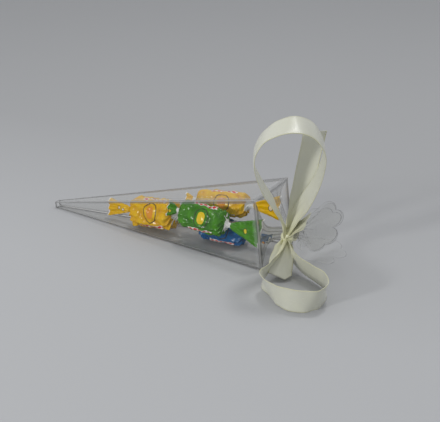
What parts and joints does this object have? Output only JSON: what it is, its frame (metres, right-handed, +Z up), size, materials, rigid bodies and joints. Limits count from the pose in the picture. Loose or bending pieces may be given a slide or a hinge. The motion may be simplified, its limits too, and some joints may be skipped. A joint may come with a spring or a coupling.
{
  "type": "acetate cone box",
  "caption": "Clear folded cone box lying on a panel, its mouth flaps gathered into scalloped fans and tied with a satin ribbon bow, holding wrapped sweets.",
  "frame": {"origin": "under the middle of the bottom panel's length, on the surface the cone lies on", "axes": "+X from the pointed tip to the mouth and its bow, along the bottom panel; +Z up from the resting surface; -Y towards the side that the knot faces"},
  "size_m": [0.189, 0.0776, 0.0863],
  "materials": {
    "clear_sheet": "clear glossy acetate sheet, slightly grey, with darker fold lines",
    "satin": "cream satin ribbon with fine dotted selvedges",
    "yellow_wrapper": "glossy yellow film wrapper with creases",
    "green_wrapper": "glossy green film wrapper with creases",
    "blue_wrapper": "glossy blue film wrapper with creases"
  },
  "bodies": {
    "root": {"acetate_cone": "clear_sheet", "satin_ribbon": "satin", "yellow_sweet_front": "yellow_wrapper", "yellow_sweet_back": "yellow_wrapper", "green_sweet": "green_wrapper", "blue_sweet": "blue_wrapper"}
  },
  "joints": []
}
